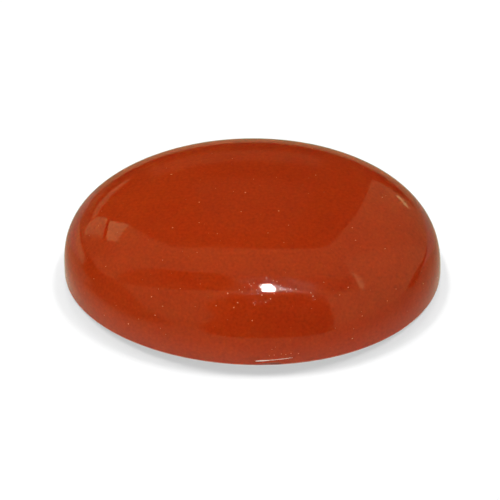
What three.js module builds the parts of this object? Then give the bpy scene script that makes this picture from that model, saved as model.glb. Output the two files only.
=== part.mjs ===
// Oval carnelian cabochon: a flat-backed gemstone with a high polished dome.
// Millimetres, +Z up, +X along the long axis. The stone lies on its flat back at z = 0,
// and the origin is the middle of its outline there.
import * as THREE from 'three';

// Overall size of the cut stone
const LENGTH = 18;
const WIDTH = 13;
const HEIGHT = 4.5;

// The thin edge that a bezel would grip: a ground bevel below, then a short upright wall
const BASE_BEVEL = 0.12;
const GIRDLE_TOP = 0.2;

// Fullness of the dome: 2 and 2 would be a plain half ellipse, and more is fuller.
// CROWN_FULLNESS keeps the top broad, and SHOULDER_FULLNESS makes the sides stand steeper.
const CROWN_FULLNESS = 2.45;
const SHOULDER_FULLNESS = 2.95;

// Small lopsidedness from hand grinding: how much wider the +X end is than the middle,
// as a share, how far the peak is from the middle of the girdle, and how late on the way
// up the sides lean over to it (1 would be evenly, and more is later)
const WIDER_END = 0.032;
const PEAK_OFFSET = { x: -0.26, y: 0.68 };
const LEAN_LATENESS = 1.5;

// Fineness of the surface
const SEGMENTS_AROUND = 96;
const RINGS_UP_DOME = 26;

const CARNELIAN = { color: 0x9c3a1c, roughness: 0.12, metalness: 0 };

// Half of the stone's section through its long axis, as (distance from the middle, height),
// from the middle of the back, out to the girdle and up over the dome to its peak
function sectionProfile() {
  const reach = LENGTH / 2;
  const profile = [
    new THREE.Vector2(0, 0),
    new THREE.Vector2(reach - BASE_BEVEL, 0),
    new THREE.Vector2(reach, BASE_BEVEL),
  ];
  for (let ring = 0; ring < RINGS_UP_DOME; ring++) {
    const climb = (ring / RINGS_UP_DOME) * (Math.PI / 2);
    const out = Math.cos(climb) ** (2 / CROWN_FULLNESS);
    const up = Math.sin(climb) ** (2 / SHOULDER_FULLNESS);
    profile.push(new THREE.Vector2(reach * out, GIRDLE_TOP + (HEIGHT - GIRDLE_TOP) * up));
  }
  profile.push(new THREE.Vector2(0, HEIGHT));
  return profile;
}

// Presses the round lathed form to its oval outline, with the hand-ground lopsidedness
function pressToOval(geometry) {
  const places = geometry.attributes.position;
  const halfLength = LENGTH / 2;
  for (let i = 0; i < places.count; i++) {
    const along = places.getX(i) / halfLength;
    const across = places.getY(i) / halfLength;
    const rise = Math.max(0, places.getZ(i) - GIRDLE_TOP) / (HEIGHT - GIRDLE_TOP);
    const lean = rise ** LEAN_LATENESS;
    const x = halfLength * along + PEAK_OFFSET.x * lean;
    const y = (WIDTH / 2) * across * (1 + WIDER_END * along) + PEAK_OFFSET.y * lean;
    places.setXY(i, x, y);
  }
  return geometry;
}

// Moves the outline's middle onto the origin, leaving the back at z = 0
function centreOutline(geometry) {
  geometry.computeBoundingBox();
  const middle = geometry.boundingBox.getCenter(new THREE.Vector3());
  return geometry.translate(-middle.x, -middle.y, 0);
}

function makeStone() {
  const geometry = new THREE.LatheGeometry(sectionProfile(), SEGMENTS_AROUND);
  geometry.rotateX(Math.PI / 2);
  pressToOval(geometry);
  centreOutline(geometry);
  geometry.computeVertexNormals();
  const stone = new THREE.Mesh(geometry, new THREE.MeshStandardMaterial(CARNELIAN));
  stone.name = 'carnelian';
  return stone;
}

const cabochon = new THREE.Group();
cabochon.add(makeStone());

export default cabochon;
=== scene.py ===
# The looks of an oval carnelian cabochon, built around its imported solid. Metres, +Z up, +X lengthwise.
from math import cos, pi, radians, sin, tau
import bpy
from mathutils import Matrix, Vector


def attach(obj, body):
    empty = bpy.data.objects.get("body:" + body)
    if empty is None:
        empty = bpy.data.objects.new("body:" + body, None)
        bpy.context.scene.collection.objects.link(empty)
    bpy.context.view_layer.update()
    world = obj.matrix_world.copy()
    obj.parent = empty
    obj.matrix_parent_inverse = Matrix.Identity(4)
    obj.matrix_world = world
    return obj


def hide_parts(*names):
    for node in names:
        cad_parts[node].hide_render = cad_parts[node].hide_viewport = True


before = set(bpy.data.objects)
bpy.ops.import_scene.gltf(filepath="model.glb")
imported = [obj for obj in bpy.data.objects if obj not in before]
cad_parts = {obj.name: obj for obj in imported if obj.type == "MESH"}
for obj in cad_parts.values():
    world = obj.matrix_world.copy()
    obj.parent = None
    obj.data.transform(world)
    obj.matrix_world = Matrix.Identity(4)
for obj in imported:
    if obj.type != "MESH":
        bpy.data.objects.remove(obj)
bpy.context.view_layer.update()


# Carnelian is chalcedony, a mass of silica fibres too fine to see, stained orange-red by iron. Light
# sinks a little way in and comes back out. The colour drifts in soft clouds, with a fine dark grain. It
# is deeper towards one end, partly the stone's own drift and partly painted shade on that side, and
# deeper low down by the rim, which is painted shade.
carnelian_light = (0.368, 0.0312, 0.0030, 1.0)
carnelian_deep = (0.283, 0.0192, 0.0027, 1.0)
chalcedony_ior = 1.54
glow_reach = (1.0, 0.25, 0.1)
glow_depth = 0.0006
cloud_size = 0.005
cloud_detail = 3.0
grain_size = 0.00014
grain_contrast = 0.70
# How far the painted shade on the +X side reaches, and the height and depth of the painted shade low
# down by the rim
side_shade_length = 0.034
rim_shade_height = 0.0022
rim_shade_depth = 0.19


def feed(tree, socket, term):
    """Gives a socket a plain value, or links the output of another node to it."""
    if isinstance(term, bpy.types.NodeSocket):
        tree.links.new(term, socket)
    else:
        socket.default_value = term


def place(tree, kind, inputs, **settings):
    """Adds a node with its settings, and gives its inputs by their names or numbers."""
    node = tree.nodes.new(kind)
    for name, value in settings.items():
        setattr(node, name, value)
    for name, term in inputs.items():
        feed(tree, node.inputs[name], term)
    return node


def calc(tree, operation, *terms, clamp=False):
    """One Math node. Each term is a number or the output of another node."""
    inputs = dict(enumerate(terms))
    return place(tree, "ShaderNodeMath", inputs, operation=operation, use_clamp=clamp).outputs[0]


def split(tree, vector):
    """The X, Y and Z of a vector."""
    return place(tree, "ShaderNodeSeparateXYZ", {0: vector}).outputs


def noise(tree, spot, feature_size, detail=2.0):
    """Soft noise between 0 and 1, whose features are that many metres wide."""
    inputs = {"Vector": spot, "Scale": 1 / feature_size, "Detail": detail}
    return place(tree, "ShaderNodeTexNoise", inputs).outputs["Fac"]


def own_place(tree):
    """Where the shaded point lies in its object's own frame, so that the stuff moves with the piece."""
    return tree.nodes.new("ShaderNodeTexCoord").outputs["Object"]


def chalcedony_colour():
    """Clouds between a light and a deep tone, a fine dark grain, and painted shade: deeper low down, and
    deeper towards +X, mixed there with the stone's own drift.
    """
    tree = bpy.data.node_groups.new("chalcedony_colour", "ShaderNodeTree")
    for name in ("Light", "Deep"):
        tree.interface.new_socket(name=name, in_out="INPUT", socket_type="NodeSocketColor")
    tree.interface.new_socket(name="Colour", in_out="OUTPUT", socket_type="NodeSocketColor")
    tones = tree.nodes.new("NodeGroupInput").outputs
    spot = own_place(tree)
    axes = split(tree, spot)
    clouds = noise(tree, spot, cloud_size, cloud_detail)
    # Deeper towards +X: partly the stone's own drift, partly painted shade on that side
    clouds_and_side_shade = calc(tree, "MULTIPLY_ADD", axes["X"], 1 / side_shade_length, clouds)
    # Deeper low down by the rim: painted shade
    climb = calc(tree, "DIVIDE", axes["Z"], rim_shade_height, clamp=True)
    rim = calc(tree, "MULTIPLY_ADD", climb, -rim_shade_depth, rim_shade_depth)
    depth = calc(tree, "ADD", clouds_and_side_shade, rim, clamp=True)
    tone = place(tree, "ShaderNodeMix", {"Factor": depth}, data_type="RGBA")
    tree.links.new(tones["Light"], tone.inputs["A"])
    tree.links.new(tones["Deep"], tone.inputs["B"])
    specks = noise(tree, spot, grain_size)
    grain = calc(tree, "MULTIPLY_ADD", specks, grain_contrast, 1 - grain_contrast / 2)
    grained = place(tree, "ShaderNodeHueSaturation", {"Value": grain, "Color": tone.outputs["Result"]})
    place(tree, "NodeGroupOutput", {"Colour": grained.outputs[0]})
    return tree


chalcedony = chalcedony_colour()


def stone_finish(name, light, deep):
    """A material with the stone's own glow, and its two tones fed to the shader."""
    material = bpy.data.materials.new(name)
    material.use_nodes = True
    tree = material.node_tree
    shader = tree.nodes["Principled BSDF"]
    shader.inputs["IOR"].default_value = chalcedony_ior
    shader.inputs["Subsurface Weight"].default_value = 1.0
    shader.inputs["Subsurface Radius"].default_value = glow_reach
    shader.inputs["Subsurface Scale"].default_value = glow_depth
    body = place(tree, "ShaderNodeGroup", {}, node_tree=chalcedony)
    body.inputs["Light"].default_value = light
    body.inputs["Deep"].default_value = deep
    feed(tree, shader.inputs["Base Color"], body.outputs["Colour"])
    return material


def bump(tree, height, depth, under=None):
    """A bump of that depth, in metres, for a height between 0 and 1."""
    node = place(tree, "ShaderNodeBump", {"Height": height, "Distance": depth})
    if under is not None:
        feed(tree, node.inputs["Normal"], under)
    return node.outputs["Normal"]


# The polish on the dome: a wet gloss, left on a felt wheel. Close up it has shallow dimples where the
# wheel plucked a few fibres, which catch a lamp as sparks round its reflection.
polish_roughness = (0.02, 0.05)
polish_patch = 0.002
dimple_spacing = 0.00014
dimple_share = 0.29
dimple_depth = 6.5e-6
polish_grain_size = 0.00006
polish_grain_depth = 2.5e-7
orange_peel_size = 0.0004
orange_peel_depth = 4.5e-6


def polished_carnelian():
    material = stone_finish("polished_carnelian", carnelian_light, carnelian_deep)
    tree = material.node_tree
    shader = tree.nodes["Principled BSDF"]
    spot = own_place(tree)
    smooth, dull = polish_roughness
    wear = calc(tree, "MULTIPLY_ADD", noise(tree, spot, polish_patch), dull - smooth, smooth)
    feed(tree, shader.inputs["Roughness"], wear)
    cells = place(tree, "ShaderNodeTexVoronoi", {"Vector": spot, "Scale": 1 / dimple_spacing})
    reach = calc(tree, "DIVIDE", cells.outputs["Distance"], dimple_share)
    bowl = calc(tree, "SUBTRACT", 1.0, calc(tree, "MULTIPLY", reach, reach), clamp=True)
    chance = split(tree, cells.outputs["Color"])["X"]
    hollow = calc(tree, "MULTIPLY", bowl, calc(tree, "MULTIPLY", chance, chance))
    dimples = calc(tree, "SUBTRACT", 1.0, hollow)
    grain = bump(tree, noise(tree, spot, polish_grain_size), polish_grain_depth)
    peel = bump(tree, noise(tree, spot, orange_peel_size), orange_peel_depth, grain)
    feed(tree, shader.inputs["Normal"], bump(tree, dimples, dimple_depth, peel))
    return material


# The back and the small bevel round it: ground flat on a lap and left matt, with the fine straight
# scratches that the grit leaves.
back_light = (0.42, 0.075, 0.020, 1.0)
back_deep = (0.33, 0.050, 0.013, 1.0)
back_roughness = 0.5
scratch_width = 0.00002
scratch_length = 0.003
scratch_turn = radians(18)
scratch_depth = 3e-6


def ground_back():
    material = stone_finish("ground_back", back_light, back_deep)
    tree = material.node_tree
    shader = tree.nodes["Principled BSDF"]
    shader.inputs["Roughness"].default_value = back_roughness
    scale = (1 / scratch_length, 1 / scratch_width, 1 / scratch_length)
    mapping = {"Vector": own_place(tree), "Rotation": (0.0, 0.0, scratch_turn), "Scale": scale}
    drawn_out = place(tree, "ShaderNodeMapping", mapping).outputs[0]
    feed(tree, shader.inputs["Normal"], bump(tree, noise(tree, drawn_out, 1.0), scratch_depth))
    return material


# Broken stone, inside the pits and on the girdle's small chip: frosted where it was crushed, and waxy
# where a flake came cleanly away, its tone there painted dark as painted shade on the scar.
frost_light = (0.66, 0.22, 0.11, 1.0)
frost_deep = (0.58, 0.17, 0.08, 1.0)
# A thin strip painted near-white, with no glow from within: a painted glint along the chip's upper lip
glint_paint_light = (0.93, 0.88, 0.84, 1.0)
glint_paint_deep = (0.88, 0.80, 0.74, 1.0)
# The clean break, painted dark: painted shade on the down-facing scar
break_shade_light = (0.20, 0.016, 0.004, 1.0)
break_shade_deep = (0.16, 0.012, 0.003, 1.0)
crushed_roughness = 0.65
break_roughness = 0.3
break_grain_size = 0.00003
break_grain_depth = 2e-6


def broken_stone(name, light, deep, roughness, glow=1.0):
    material = stone_finish(name, light, deep)
    tree = material.node_tree
    shader = tree.nodes["Principled BSDF"]
    shader.inputs["Subsurface Weight"].default_value = glow
    shader.inputs["Roughness"].default_value = roughness
    grain = noise(tree, own_place(tree), break_grain_size)
    feed(tree, shader.inputs["Normal"], bump(tree, grain, break_grain_depth))
    return material


# The stone as cut: one piece, ground to an 18 by 13 mm oval with a flat back, a narrow girdle and a
# domed top, its peak a little behind the middle. The form follows one rule, so it is grown from a plain
# grid, round the stone one way and up its section the other, and then closed.
stone_length = 0.018
stone_width = 0.013
stone_height = 0.0045
bevel_size = 0.00012
girdle_top = 0.0002
crown_fullness = 2.45
shoulder_fullness = 2.95
wider_end = 0.032
peak_offset = (-0.00026, 0.00068, 0.0)
lean_lateness = 1.5
steps_around = 400
back_rows = 12
bevel_rows = 6
dome_rows = 160
row_crowding = 1.35
seam_gap = 1e-8
hand_wave = 7e-6
hand_wave_size = 0.003
hand_wave_detail = 1.0


def position(tree):
    return tree.nodes.new("GeometryNodeInputPosition").outputs[0]


def pick(tree, condition, otherwise, chosen):
    """The chosen value where the condition holds, and the other value elsewhere."""
    inputs = {"Switch": condition, "False": otherwise, "True": chosen}
    return place(tree, "GeometryNodeSwitch", inputs, input_type="FLOAT").outputs[0]


def grown_dome(tree, given):
    """The closed stone, standing on z = 0 with the middle of its outline on the Z axis."""
    rows = back_rows + bevel_rows + dome_rows
    columns = calc(tree, "ADD", given["Steps Around"], 1)
    grid = place(tree, "GeometryNodeMeshGrid", {"Vertices X": columns, "Vertices Y": rows})

    # The grid runs from -0.5 to 0.5. Its X becomes the turn round the stone, and its Y the row's number.
    cell = split(tree, position(tree))
    turn = calc(tree, "MULTIPLY", calc(tree, "ADD", cell["X"], 0.5), tau)
    row = calc(tree, "MULTIPLY", calc(tree, "ADD", cell["Y"], 0.5), rows - 1)
    row = calc(tree, "ROUND", row)

    # The dome, from the girdle up to the peak, with its rows closer together near the girdle
    climb = calc(tree, "DIVIDE", calc(tree, "SUBTRACT", row, back_rows + bevel_rows), dome_rows - 1)
    climb = calc(tree, "POWER", calc(tree, "MAXIMUM", climb, 0.0), row_crowding)
    climb = calc(tree, "MULTIPLY", climb, pi / 2)
    crown_power = calc(tree, "DIVIDE", 2.0, given["Crown Fullness"])
    shoulder_power = calc(tree, "DIVIDE", 2.0, given["Shoulder Fullness"])
    dome_out = calc(tree, "POWER", calc(tree, "MAXIMUM", calc(tree, "COSINE", climb), 0.0), crown_power)
    rise = calc(tree, "POWER", calc(tree, "SINE", climb), shoulder_power)
    dome_height = calc(tree, "SUBTRACT", given["Height"], given["Girdle Top"])
    dome_z = calc(tree, "MULTIPLY_ADD", rise, dome_height, given["Girdle Top"])

    # The rounded bevel under the girdle, and the flat back inside it
    reach = calc(tree, "DIVIDE", given["Length"], 2.0)
    bevel_share = calc(tree, "DIVIDE", given["Bevel"], reach)
    swing = calc(tree, "DIVIDE", calc(tree, "SUBTRACT", row, back_rows - 1), bevel_rows)
    swing = calc(tree, "MULTIPLY", calc(tree, "MAXIMUM", swing, 0.0), pi / 2)
    inset = calc(tree, "MULTIPLY", bevel_share, calc(tree, "SUBTRACT", 1.0, calc(tree, "SINE", swing)))
    bevel_out = calc(tree, "SUBTRACT", 1.0, inset)
    lifted = calc(tree, "SUBTRACT", 1.0, calc(tree, "COSINE", swing))
    bevel_z = calc(tree, "MULTIPLY", given["Bevel"], lifted)
    back_share = calc(tree, "DIVIDE", row, back_rows - 1)
    back_out = calc(tree, "MULTIPLY", back_share, calc(tree, "SUBTRACT", 1.0, bevel_share))
    on_dome = calc(tree, "GREATER_THAN", row, back_rows + bevel_rows - 0.5)
    on_back = calc(tree, "LESS_THAN", row, back_rows - 0.5)
    out = pick(tree, on_dome, pick(tree, on_back, bevel_out, back_out), dome_out)
    height = pick(tree, on_dome, pick(tree, on_back, bevel_z, 0.0), dome_z)

    # Pressed to the oval, wider at one end, and leaning over to the peak
    peak = split(tree, given["Peak Offset"])
    lean = calc(tree, "POWER", rise, given["Lean Lateness"])
    along = calc(tree, "MULTIPLY", out, calc(tree, "COSINE", turn))
    across = calc(tree, "MULTIPLY", out, calc(tree, "SINE", turn))
    widening = calc(tree, "MULTIPLY_ADD", along, given["Wider End"], 1.0)
    half_width = calc(tree, "DIVIDE", given["Width"], 2.0)
    x = calc(tree, "MULTIPLY_ADD", peak["X"], lean, calc(tree, "MULTIPLY", along, reach))
    y = calc(tree, "MULTIPLY", calc(tree, "MULTIPLY", across, half_width), widening)
    y = calc(tree, "MULTIPLY_ADD", peak["Y"], lean, y)
    spot = place(tree, "ShaderNodeCombineXYZ", {"X": x, "Y": y, "Z": height}).outputs[0]
    placing = {"Geometry": grid.outputs["Mesh"], "Position": spot}
    shaped = place(tree, "GeometryNodeSetPosition", placing).outputs[0]

    # Moved so that the middle of its outline is on the Z axis, and its seam closed
    box = place(tree, "GeometryNodeBoundBox", {"Geometry": shaped}).outputs
    ends = {0: box["Min"], 1: box["Max"]}
    both = place(tree, "ShaderNodeVectorMath", ends, operation="ADD").outputs[0]
    halving = {0: both, 1: (-0.5, -0.5, 0.0)}
    aside = place(tree, "ShaderNodeVectorMath", halving, operation="MULTIPLY").outputs[0]
    centred = place(tree, "GeometryNodeSetPosition", {"Geometry": shaped, "Offset": aside}).outputs[0]
    merging = {"Geometry": centred, "Distance": seam_gap}
    return place(tree, "GeometryNodeMergeByDistance", merging).outputs[0]


def hand_waved(tree, stone, given):
    """The very slight waves that a hand-held stone keeps from the wheel, everywhere but on its back."""
    spot = position(tree)
    normal = tree.nodes.new("GeometryNodeInputNormal").outputs[0]
    off_back = calc(tree, "GREATER_THAN", split(tree, spot)["Z"], given["Bevel"])
    lift = calc(tree, "SUBTRACT", noise(tree, spot, hand_wave_size, hand_wave_detail), 0.5)
    lift = calc(tree, "MULTIPLY", lift, given["Hand Wave"])
    push = place(tree, "ShaderNodeVectorMath", {0: normal, "Scale": lift}, operation="SCALE").outputs[0]
    inputs = {"Geometry": stone, "Selection": off_back, "Offset": push}
    return place(tree, "GeometryNodeSetPosition", inputs).outputs[0]


# The pits: tiny hollows in the stone that grinding opened, each the size of a grain of fine sand. Most
# lie at random, thicker towards the front. The plainest are placed one by one: x, y, z and radius.
pit_size = (0.000006, 0.000026)
pit_smallness = 3.0
pit_stretch = (0.7, 1.3)
pit_ball_detail = 2
pit_crowd = 1.1e6
pit_gap = 0.00012
pit_floor = 0.0006
pits_thickest_at = -0.004
pits_thinnest_at = 0.003
pits_thinnest = 0.3
pit_seed = 11
plain_pits_mm = [
    (-3.85, 2.09, 4.27, 0.028), (-0.34, 0.57, 4.50, 0.036), (-0.53, -0.72, 4.47, 0.032),
    (1.23, -0.65, 4.45, 0.028), (-3.75, -1.54, 4.20, 0.032), (4.69, -1.33, 4.00, 0.028),
    (4.84, -2.02, 3.84, 0.026), (-4.71, -4.60, 2.64, 0.030), (-4.19, -5.02, 2.43, 0.032),
    (-5.82, -4.80, 1.06, 0.034), (-4.55, -5.16, 1.98, 0.028), (5.13, -5.07, 1.85, 0.034),
    (4.67, -5.60, 0.90, 0.030), (4.47, -4.34, 3.00, 0.030), (6.32, -4.21, 2.00, 0.028),
    (-1.15, -4.98, 3.23, 0.032), (-0.61, -4.86, 3.35, 0.026), (2.03, -4.76, 3.29, 0.032),
    (1.78, -4.77, 3.32, 0.026), (-0.01, -5.91, 2.37, 0.028), (0.44, -5.07, 3.21, 0.034),
    (0.84, -5.20, 3.09, 0.034), (-0.06, -4.70, 3.46, 0.032), (1.29, -4.79, 3.35, 0.034),
    (1.02, -6.47, 0.67, 0.022), (1.35, -6.44, 0.71, 0.030), (1.56, -6.43, 0.66, 0.022),
    (1.80, -6.40, 0.70, 0.030), (2.15, -6.35, 0.65, 0.026), (-0.14, -4.63, 3.50, 0.026),
    (0.07, -4.59, 3.52, 0.024), (0.19, -4.87, 3.35, 0.028), (0.38, -4.76, 3.42, 0.024),
    (1.01, -5.00, 3.23, 0.028), (1.31, -4.65, 3.44, 0.030), (1.59, -4.89, 3.26, 0.028),
    (1.14, -4.50, 3.53, 0.024), (0.97, -4.46, 3.56, 0.022), (-0.69, -5.34, 2.98, 0.028),
    (2.72, -4.83, 3.13, 0.026), (2.82, -4.95, 3.02, 0.026), (-0.36, -4.76, 3.42, 0.024),
    (-0.48, -4.95, 3.30, 0.024), (0.62, -5.33, 3.00, 0.026),
]


def dressed(tree, geometry, material):
    inputs = {"Geometry": geometry, "Material": material}
    return place(tree, "GeometryNodeSetMaterial", inputs).outputs[0]


def opened_pits(tree, stone, given):
    """The cutters for all the pits: rough little balls, half sunk in the surface."""
    spot = split(tree, position(tree))
    crowding = {
        "Value": spot["Y"], "From Min": pits_thinnest_at, "From Max": pits_thickest_at,
        "To Min": pits_thinnest, "To Max": 1.0,
    }
    thicker = place(tree, "ShaderNodeMapRange", crowding).outputs[0]
    spread = {
        "Mesh": stone, "Selection": calc(tree, "GREATER_THAN", spot["Z"], pit_floor),
        "Distance Min": pit_gap, "Density Max": given["Pit Crowd"], "Density Factor": thicker,
        "Seed": given["Seed"],
    }
    scattered = place(tree, "GeometryNodeDistributePointsOnFaces", spread, distribute_method="POISSON")
    chance = place(tree, "FunctionNodeRandomValue", {"Seed": given["Seed"]}, data_type="FLOAT")
    growth = calc(tree, "POWER", chance.outputs[1], pit_smallness)
    smallest, largest = pit_size
    radius = calc(tree, "MULTIPLY_ADD", growth, largest - smallest, smallest)
    sizing = {"Geometry": scattered.outputs["Points"], "Name": "pit_radius", "Value": radius}
    sized = place(tree, "GeometryNodeStoreNamedAttribute", sizing, data_type="FLOAT", domain="POINT")

    # The plainest pits, put on the surface, and the scattered ones
    nearest = place(tree, "GeometryNodeProximity", {0: stone}, target_element="FACES")
    snapping = {"Geometry": given["Plain Pits"], "Position": nearest.outputs["Position"]}
    snapped = place(tree, "GeometryNodeSetPosition", snapping).outputs[0]
    every = tree.nodes.new("GeometryNodeJoinGeometry")
    tree.links.new(snapped, every.inputs[0])
    tree.links.new(sized.outputs[0], every.inputs[0])

    # A ball for each, uneven and turned at random
    ball = place(tree, "GeometryNodeMeshIcoSphere", {"Radius": 1.0, "Subdivisions": pit_ball_detail})
    size = place(tree, "GeometryNodeInputNamedAttribute", {"Name": "pit_radius"}, data_type="FLOAT")
    least, most = pit_stretch
    stretching = {0: (least, least, least), 1: (most, most, most), "Seed": given["Seed"]}
    uneven = place(tree, "FunctionNodeRandomValue", stretching, data_type="FLOAT_VECTOR").outputs[0]
    scaling = {0: uneven, "Scale": size.outputs[0]}
    scale = place(tree, "ShaderNodeVectorMath", scaling, operation="SCALE").outputs[0]
    turning = {1: (tau, tau, tau), "Seed": given["Seed"]}
    turned = place(tree, "FunctionNodeRandomValue", turning, data_type="FLOAT_VECTOR").outputs[0]
    setting = {
        "Points": every.outputs[0], "Instance": ball.outputs["Mesh"], "Rotation": turned,
        "Scale": scale,
    }
    balls = place(tree, "GeometryNodeInstanceOnPoints", setting).outputs[0]
    balls = place(tree, "GeometryNodeRealizeInstances", {0: balls}).outputs[0]
    return dressed(tree, balls, given["Pit Wall"])


# The chip: a small flake broken off the bottom edge at the front, 2 mm long. Its scar is painted dark,
# as painted shade, and a thin strip along its upper lip is painted near-white, a painted glint. Each
# cutter is given by its middle, half size and turn.
# The flake's scar, dressed in the break painted dark as painted shade
chip_cut = ((0.00090, -0.00655, 0.00000), (0.00112, 0.00010, 0.00021), (0.0, radians(-4), 0.0))
# Thin cuts along the chip's upper lip that carry the painted glint
painted_glint_cuts = [
    ((0.00052, -0.00650, 0.00034), (0.00040, 0.00003, 0.000034), (0.0, radians(-4), radians(2))),
    ((0.00092, -0.00649, 0.00037), (0.00110, 0.00003, 0.000014), (0.0, radians(-4), radians(4))),
]
chip_ripple = 0.000006
chip_ripple_size = 0.0001
flake_detail = 6


def flake_cutter(tree, middle, half_size, turn, material):
    """The cutter for one flake: a flattened ball, rippled as such breaks are."""
    ball = place(tree, "GeometryNodeMeshIcoSphere", {"Radius": 1.0, "Subdivisions": flake_detail})
    inputs = {
        "Geometry": ball.outputs["Mesh"], "Translation": middle, "Rotation": turn, "Scale": half_size,
    }
    flake = place(tree, "GeometryNodeTransform", inputs).outputs[0]
    ripple = calc(tree, "SUBTRACT", noise(tree, position(tree), chip_ripple_size), 0.5)
    ripple = calc(tree, "MULTIPLY", ripple, chip_ripple)
    push = place(tree, "ShaderNodeCombineXYZ", {"Y": ripple, "Z": ripple}).outputs[0]
    rippled = place(tree, "GeometryNodeSetPosition", {"Geometry": flake, "Offset": push}).outputs[0]
    return dressed(tree, rippled, material)


def cabochon_tree():
    tree = bpy.data.node_groups.new("cabochon", "GeometryNodeTree")
    kinds = {
        "Plain Pits": "Geometry", "Length": "Float", "Width": "Float", "Height": "Float",
        "Bevel": "Float", "Girdle Top": "Float", "Crown Fullness": "Float",
        "Shoulder Fullness": "Float", "Wider End": "Float", "Peak Offset": "Vector",
        "Lean Lateness": "Float", "Steps Around": "Int", "Hand Wave": "Float", "Pit Crowd": "Float",
        "Seed": "Int", "Polish": "Material", "Back": "Material", "Pit Wall": "Material",
        "Break Shade": "Material", "Painted Glint": "Material",
    }
    for name, kind in kinds.items():
        tree.interface.new_socket(name=name, in_out="INPUT", socket_type="NodeSocket" + kind)
    tree.interface.new_socket(name="Stone", in_out="OUTPUT", socket_type="NodeSocketGeometry")
    given = tree.nodes.new("NodeGroupInput").outputs
    stone = hand_waved(tree, grown_dome(tree, given), given)
    stone = place(tree, "GeometryNodeSetShadeSmooth", {"Geometry": stone}).outputs[0]
    stone = dressed(tree, stone, given["Polish"])

    # The pits and the chip, cut out, with a crisp edge round each
    cutters = [opened_pits(tree, stone, given), flake_cutter(tree, *chip_cut, given["Break Shade"])]
    # The strip along the lip carries the painted glint
    cutters += [flake_cutter(tree, *lip, given["Painted Glint"]) for lip in painted_glint_cuts]
    cut = place(tree, "GeometryNodeMeshBoolean", {0: stone}, operation="DIFFERENCE", solver="MANIFOLD")
    for cutter in cutters:
        tree.links.new(cutter, cut.inputs[1])
    crisp = {
        "Geometry": cut.outputs["Mesh"], "Selection": cut.outputs["Intersecting Edges"],
        "Shade Smooth": False,
    }
    stone = place(tree, "GeometryNodeSetShadeSmooth", crisp, domain="EDGE").outputs[0]
    stone = place(tree, "GeometryNodeRealizeInstances", {0: stone}).outputs[0]

    # The back and the bevel round it are matt
    low = calc(tree, "LESS_THAN", split(tree, position(tree))["Z"], given["Bevel"])
    polished = place(tree, "GeometryNodeMaterialSelection", {0: given["Polish"]}).outputs[0]
    back_faces = calc(tree, "MULTIPLY", low, polished)
    ending = {"Geometry": stone, "Selection": back_faces, "Material": given["Back"]}
    ended = place(tree, "GeometryNodeSetMaterial", ending).outputs[0]
    place(tree, "NodeGroupOutput", {"Stone": ended})
    return tree


def plain_pit_points():
    """A mesh of loose points, one for each listed pit."""
    mesh = bpy.data.meshes.new("plain_pits")
    mesh.from_pydata([(x / 1000, y / 1000, z / 1000) for x, y, z, _ in plain_pits_mm], [], [])
    radii = mesh.attributes.new("pit_radius", "FLOAT", "POINT")
    radii.data.foreach_set("value", [radius / 1000 for *_, radius in plain_pits_mm])
    return mesh


def cut_stone():
    """The stone as one mesh, made by the tree from the sizes above."""
    stone = bpy.data.objects.new("polished_stone", plain_pit_points())
    bpy.context.scene.collection.objects.link(stone)
    shaping = stone.modifiers.new("shaping", "NODES")
    shaping.node_group = cabochon_tree()
    values = {
        "Length": stone_length, "Width": stone_width, "Height": stone_height, "Bevel": bevel_size,
        "Girdle Top": girdle_top, "Crown Fullness": crown_fullness,
        "Shoulder Fullness": shoulder_fullness, "Wider End": wider_end, "Peak Offset": peak_offset,
        "Lean Lateness": lean_lateness, "Steps Around": steps_around, "Hand Wave": hand_wave,
        "Pit Crowd": pit_crowd, "Seed": pit_seed, "Polish": polished_carnelian(), "Back": ground_back(),
        "Pit Wall": broken_stone("pit_wall", frost_light, frost_deep, crushed_roughness),
        "Break Shade": broken_stone("break_painted_dark", break_shade_light, break_shade_deep, break_roughness),
        "Painted Glint": broken_stone("painted_glint", glint_paint_light, glint_paint_deep, crushed_roughness, 0.0),
    }
    for socket in shaping.node_group.interface.items_tree:
        if socket.name in values:
            shaping[socket.identifier] = values[socket.name]
    bpy.context.view_layer.update()
    shaped = stone.evaluated_get(bpy.context.evaluated_depsgraph_get())
    mesh = bpy.data.meshes.new_from_object(shaped)
    stone.modifiers.remove(shaping)
    stone.data = mesh
    stone.visible_diffuse = False
    return stone


carnelian = cut_stone()
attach(carnelian, "root")
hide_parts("carnelian")


# The table: a plain white sweep. In the polish it is a painted reflection instead: a glow, darker and
# warmer than straight on, brightest next to the stone and darker away from it.
table_half = 0.4
table_white = (0.85, 0.85, 0.85, 1.0)
mirrored_far = (0.38, 0.32, 0.16, 1.0)
mirrored_near = (0.66, 0.61, 0.46, 1.0)
mirrored_fading = 5.0


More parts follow.
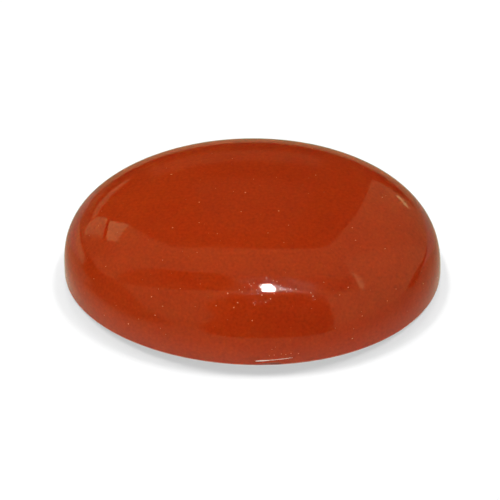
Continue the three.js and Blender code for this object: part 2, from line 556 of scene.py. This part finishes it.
def table_finish():
    """Matt white straight on, and in the polish a painted reflection: a glow that fades away from the
    stone.
    """
    material = bpy.data.materials.new("white_table")
    material.use_nodes = True
    tree = material.node_tree
    tree.nodes.remove(tree.nodes["Principled BSDF"])
    shares = {0: own_place(tree), 1: (2 / stone_length, 2 / stone_width, 0.0)}
    spot = place(tree, "ShaderNodeVectorMath", shares, operation="MULTIPLY").outputs[0]
    reach = place(tree, "ShaderNodeVectorMath", {0: spot}, operation="LENGTH").outputs["Value"]
    nearness = calc(tree, "POWER", calc(tree, "MAXIMUM", reach, 1.0), -mirrored_fading)
    tint = place(tree, "ShaderNodeMix", {"Factor": nearness}, data_type="RGBA")
    tint.inputs["A"].default_value = mirrored_far
    tint.inputs["B"].default_value = mirrored_near
    matte = place(tree, "ShaderNodeBsdfDiffuse", {"Color": table_white})
    glow = place(tree, "ShaderNodeEmission", {"Color": tint.outputs["Result"]})
    mirrored = tree.nodes.new("ShaderNodeLightPath").outputs["Is Glossy Ray"]
    seen = place(tree, "ShaderNodeMixShader", {0: mirrored, 1: matte.outputs[0], 2: glow.outputs[0]})
    feed(tree, tree.nodes["Material Output"].inputs["Surface"], seen.outputs[0])
    return material


def flat_piece(name, corners, material):
    """One flat face of the scenery."""
    mesh = bpy.data.meshes.new(name)
    mesh.from_pydata(corners, [], [tuple(range(len(corners)))])
    mesh.materials.append(material)
    piece = bpy.data.objects.new(name, mesh)
    bpy.context.scene.collection.objects.link(piece)
    return piece


table_corners = [
    (-table_half, -table_half, 0.0), (table_half, -table_half, 0.0),
    (table_half, table_half, 0.0), (-table_half, table_half, 0.0),
]
flat_piece("table", table_corners, table_finish())

# The studio that the polish mirrors: walls, black flags, window panes and one small lamp, all of them
# cards that glow evenly. Each is given by its strength and its outline as seen from the stone, in
# degrees: azimuth from straight behind, and elevation. The nearer cards hide the farther ones.
card_tint = (1.0, 0.86, 0.38, 1.0)
lamp_tint = (1.0, 0.96, 0.92, 1.0)
paper_tint = (1.0, 0.94, 0.68, 1.0)
wall_distance = 2.0
flag_distance = 1.5
panel_distance = 0.7

walls = {
    "wall_right_back": (0.39, [
        (40, 66), (25, 44), (22.5, 27), (20, 15), (30, 4), (36, -2), (62, -2), (66, 66),
    ]),
    "wall_right": (0.52, [(66, 66), (62, -2), (100, -2), (113, 42), (98, 58)]),
    "wall_right_front": (0.52, [
        (113, 42), (100, -2), (148, -2), (142, 28), (143, 48), (129, 50), (119, 41),
    ]),
}
flags = {
    "opening_behind": (0.04, [
        (-44, 67), (-20, 70.5), (0, 71), (20, 70), (40, 66), (25, 44), (22.5, 27), (20, 15),
        (30, 4), (36, -2), (0, -2), (-38, -2), (-45, 20), (-42, 36), (-40, 46),
    ]),
    "glazing_bars": (0.02, [(-42, 33), (-41, 42), (-64, 46), (-62, 37)]),
    "dark_by_windows": (0.20, [(-61, 13), (-62, 42), (-80, 42), (-80, 16)]),
    "dark_over_sweep": (0.10, [
        (-40, -2), (-52, 6), (-64, 9.5), (-74, 12), (-80, 12), (-80, 18), (-74, 16.5),
        (-64, 13.5), (-52, 9.5), (-44, 5),
    ]),
    "dark_left": (0.03, [(-79, 20), (-97, 19), (-98, -2), (-81, -2)]),
    "dark_left_front": (0.09, [
        (-97, 20), (-110, 29), (-120, 22), (-136, 6), (-140, -2), (-98, -2),
    ]),
    "overhead_gap": (0.01, [
        (-97, 63), (-102, 73.5), (-116, 82.6), (-158, 78), (-158, 66), (-140, 59), (-115, 61),
    ]),
    "overhead_dim": (0.09, [
        (-97, 63), (-100, 50), (-104, 34), (-108, 29), (-112, 30), (-122, 43.5), (-140, 57),
        (-140, 59), (-115, 61),
    ]),
    "over_lamp": (0.18, [
        (-158, 78), (-147, 84.5), (172, 84.8), (116, 75.7), (106, 57), (121, 47.5), (146, 63.2),
        (179, 68), (-169, 68.3), (-158, 66),
    ]),
    "camera_and_stand": (0.04, [
        (-167, 64), (-160, 55), (-156.5, 47), (-155, 39), (-163, 31), (-163, 24), (-160, 14),
        (-157, 2), (-159, -2), (149, -2), (147, 9), (144, 28), (141, 43), (140, 53), (148, 60),
        (168, 63),
    ]),
    "gap_by_wall": (0.05, [
        (56, 0), (70, 4), (79, 7.5), (86, 8), (96, 3.5), (99, -2), (79, -2), (56, -2),
    ]),
}
panels = {
    "sweep_left": (0.70, [(-40, -2), (-52, 6), (-64, 9.5), (-74, 12), (-79, 5), (-80, -2)]),
    "window_low": (0.80, [(-44, 24), (-41.5, 34.5), (-59.5, 37.5), (-57, 16), (-52, 15)]),
    "window_sill": (0.22, [
        (-57, 15), (-52, 15), (-45, 24), (-43, 14), (-44, 6), (-52, 10.5), (-60, 13.5),
    ]),
    "window_high": (1.3, [(-43, 37.5), (-40.5, 48), (-63, 46.5), (-62.5, 40.5)]),
    "far_arc": (0.52, [
        (-44, 24), (-38, 22.5), (-32, 21), (-25, 18.5), (-20, 16.5), (-20, 13), (-25, 13),
        (-32, 14), (-38, 16), (-44, 18),
    ]),
    "far_band": (0.15, [(-15, 14), (-15, 26), (0, 28), (10, 26), (10, 14)]),
    "far_floor": (0.20, [(-46, -2), (-46, 12), (-38, 11), (-28, 8), (-20, -2)]),
    "far_door": (0.10, [(-10, 60), (14, 62), (10, 38), (-8, 38)]),
    "side_slit": (1.5, [
        (94, 61.5), (99, 58.5), (108, 52.5), (116, 43.5), (117.5, 40), (112.5, 43.5), (104, 52),
        (97, 58),
    ]),
    "far_strip": (2.2, [(28.5, 13.5), (34, 13), (36, 9.5), (30, 9.5)]),
}
lamp_glow = 140.0
lamp_outline = [(169, 75.5), (161, 75.5), (159, 72.8), (160, 69.8), (163.5, 67.6), (171, 67.8)]

# Glowing cards lying on the table that only the polish sees: painted reflections of strips of black felt
# and two sheets of white paper, which the rim mirrors. Each is given by its strength and its outline in
# metres, and lies just above the one before it.
felt_lift = 0.0001
felts = {
    "felt_behind": (0.05, [(-0.05, 0.050), (0.04, 0.050), (0.28, 0.39), (-0.28, 0.39)]),
    "felt_in_front": (0.05, [
        (-0.0095, -0.0240), (-0.13, -0.39), (0.25, -0.39), (0.0120, -0.0180), (0.0080, -0.0145),
        (0.0052, -0.0170), (0.0, -0.0190), (-0.0043, -0.0180),
    ]),
    "felt_right": (0.05, [(0.030, 0.003), (0.030, -0.004), (0.39, -0.06), (0.39, 0.04)]),
    "felt_left": (0.05, [(-0.028, 0.004), (-0.028, -0.006), (-0.39, -0.22), (-0.39, 0.07)]),
    "felt_corner_edge": (0.26, [
        (-0.0108, -0.0024), (-0.0099, -0.0046), (-0.0080, -0.0064), (-0.0080, -0.0110),
        (-0.15, -0.26), (-0.39, -0.22), (-0.030, -0.003),
    ]),
    "felt_corner": (0.12, [
        (-0.0119, -0.0034), (-0.0107, -0.0053), (-0.0090, -0.0072), (-0.0094, -0.0112),
        (-0.16, -0.25), (-0.39, -0.22), (-0.030, -0.005),
    ]),
}
papers = {
    "paper_left": (0.43, [(-0.0105, 0.0015), (-0.0078, 0.0062), (-0.26, 0.39), (-0.39, 0.10)]),
    "paper_right": (0.43, [(0.0105, 0.0015), (0.39, 0.09), (0.36, 0.26), (0.0084, 0.0058)]),
}


def bearing(azimuth, elevation):
    """The direction of an azimuth from straight behind and an elevation, in degrees."""
    turn, climb = radians(azimuth), radians(elevation)
    return Vector((sin(turn) * cos(climb), cos(turn) * cos(climb), sin(climb)))


def card(name, corners, tint, strength):
    """A glowing card that only the polish sees."""
    material = bpy.data.materials.new(name)
    material.use_nodes = True
    tree = material.node_tree
    tree.nodes.remove(tree.nodes["Principled BSDF"])
    glow = place(tree, "ShaderNodeEmission", {"Color": tint, "Strength": strength})
    feed(tree, tree.nodes["Material Output"].inputs["Surface"], glow.outputs[0])
    piece = flat_piece(name, corners, material)
    piece.visible_camera = False
    piece.visible_diffuse = False
    piece.visible_transmission = False
    piece.visible_shadow = False


for cards, distance in ((walls, wall_distance), (flags, flag_distance), (panels, panel_distance)):
    for name, (strength, outline) in cards.items():
        card(name, [bearing(*corner) * distance for corner in outline], card_tint, strength)
card("lamp", [bearing(*corner) * panel_distance for corner in lamp_outline], lamp_tint, lamp_glow)
for layer, (name, (strength, outline)) in enumerate((felts | papers).items(), start=1):
    tint = paper_tint if name in papers else card_tint
    card(name, [(x, y, felt_lift * layer) for x, y in outline], tint, strength)

# The lights that model the stone: three soft lights behind it, which throw its shadow to the front,
# and wide fills at the sides and low in front, too soft to throw one. The polish doesn't mirror them.
# Each is given by its azimuth and elevation, its width, its power, and whether it throws a shadow.
lights = {
    "behind_left": (-34, 58, 0.06, 0.39, True),
    "behind": (0, 59, 0.06, 0.17, True),
    "behind_right": (34, 58, 0.06, 0.31, True),
    "left_fill": (-95, 45, 0.20, 0.34, False),
    "right_fill": (105, 45, 0.20, 0.37, False),
    "front_fill": (180, 18, 0.20, 0.86, False),
}
light_distance = 0.35


def soft_light(name, azimuth, elevation, width, power, casts):
    disk = bpy.data.lights.new(name, "AREA")
    disk.shape = "DISK"
    disk.size = width
    disk.energy = power
    disk.use_shadow = casts
    light = bpy.data.objects.new(name, disk)
    bpy.context.scene.collection.objects.link(light)
    way = bearing(azimuth, elevation)
    light.location = way * light_distance
    light.rotation_mode = "QUATERNION"
    light.rotation_quaternion = way.to_track_quat("Z", "Y")
    light.visible_camera = False
    light.visible_glossy = False


for name, settings in lights.items():
    soft_light(name, *settings)

# The air round the set: white to look at and dim as a light. Mirrored in the polish it is the pale tent
# that stands round everything.
air_seen = (1.0, 1.0, 1.0, 1.0)
air_light = (0.04, 0.04, 0.04, 1.0)
tent_glow = (0.34, 0.31, 0.13, 1.0)


def surround():
    world = bpy.data.worlds.new("surround")
    bpy.context.scene.world = world
    world.use_nodes = True
    tree = world.node_tree
    path = tree.nodes.new("ShaderNodeLightPath").outputs
    level = place(tree, "ShaderNodeMix", {"Factor": path["Is Glossy Ray"]}, data_type="RGBA")
    level.inputs["A"].default_value = air_light
    level.inputs["B"].default_value = tent_glow
    seen = place(tree, "ShaderNodeMix", {"Factor": path["Is Camera Ray"]}, data_type="RGBA")
    tree.links.new(level.outputs["Result"], seen.inputs["A"])
    seen.inputs["B"].default_value = air_seen
    feed(tree, tree.nodes["Background"].inputs["Color"], seen.outputs["Result"])


surround()


# The camera: a long lens, 44 degrees up and about 20 cm off. The stone's own origin lies a little
# right of the middle of the square picture and below it.
camera_elevation = 43.7
camera_distance = 0.198
pixels_per_metre = 20865.0
picture_width = 500
origin_in_picture = (252.5, 269.6)
sensor_width = 36.0
nearest_seen = 0.01
farthest_seen = 5.0


def photo_camera():
    lens = bpy.data.cameras.new("camera")
    lens.sensor_width = sensor_width
    lens.lens = pixels_per_metre * camera_distance / picture_width * sensor_width
    lens.clip_start = nearest_seen
    lens.clip_end = farthest_seen
    camera = bpy.data.objects.new("camera", lens)
    bpy.context.scene.collection.objects.link(camera)
    back = bearing(180, camera_elevation)
    up = bearing(0, 90 - camera_elevation)
    right = bearing(90, 0)
    across, down = (pixel - picture_width / 2 for pixel in origin_in_picture)
    aim = (up * down - right * across) / pixels_per_metre
    camera.location = back * camera_distance
    camera.rotation_mode = "QUATERNION"
    camera.rotation_quaternion = (aim - camera.location).to_track_quat("-Z", "Y")
    bpy.context.scene.camera = camera


photo_camera()
bpy.context.scene.view_settings.view_transform = "Standard"
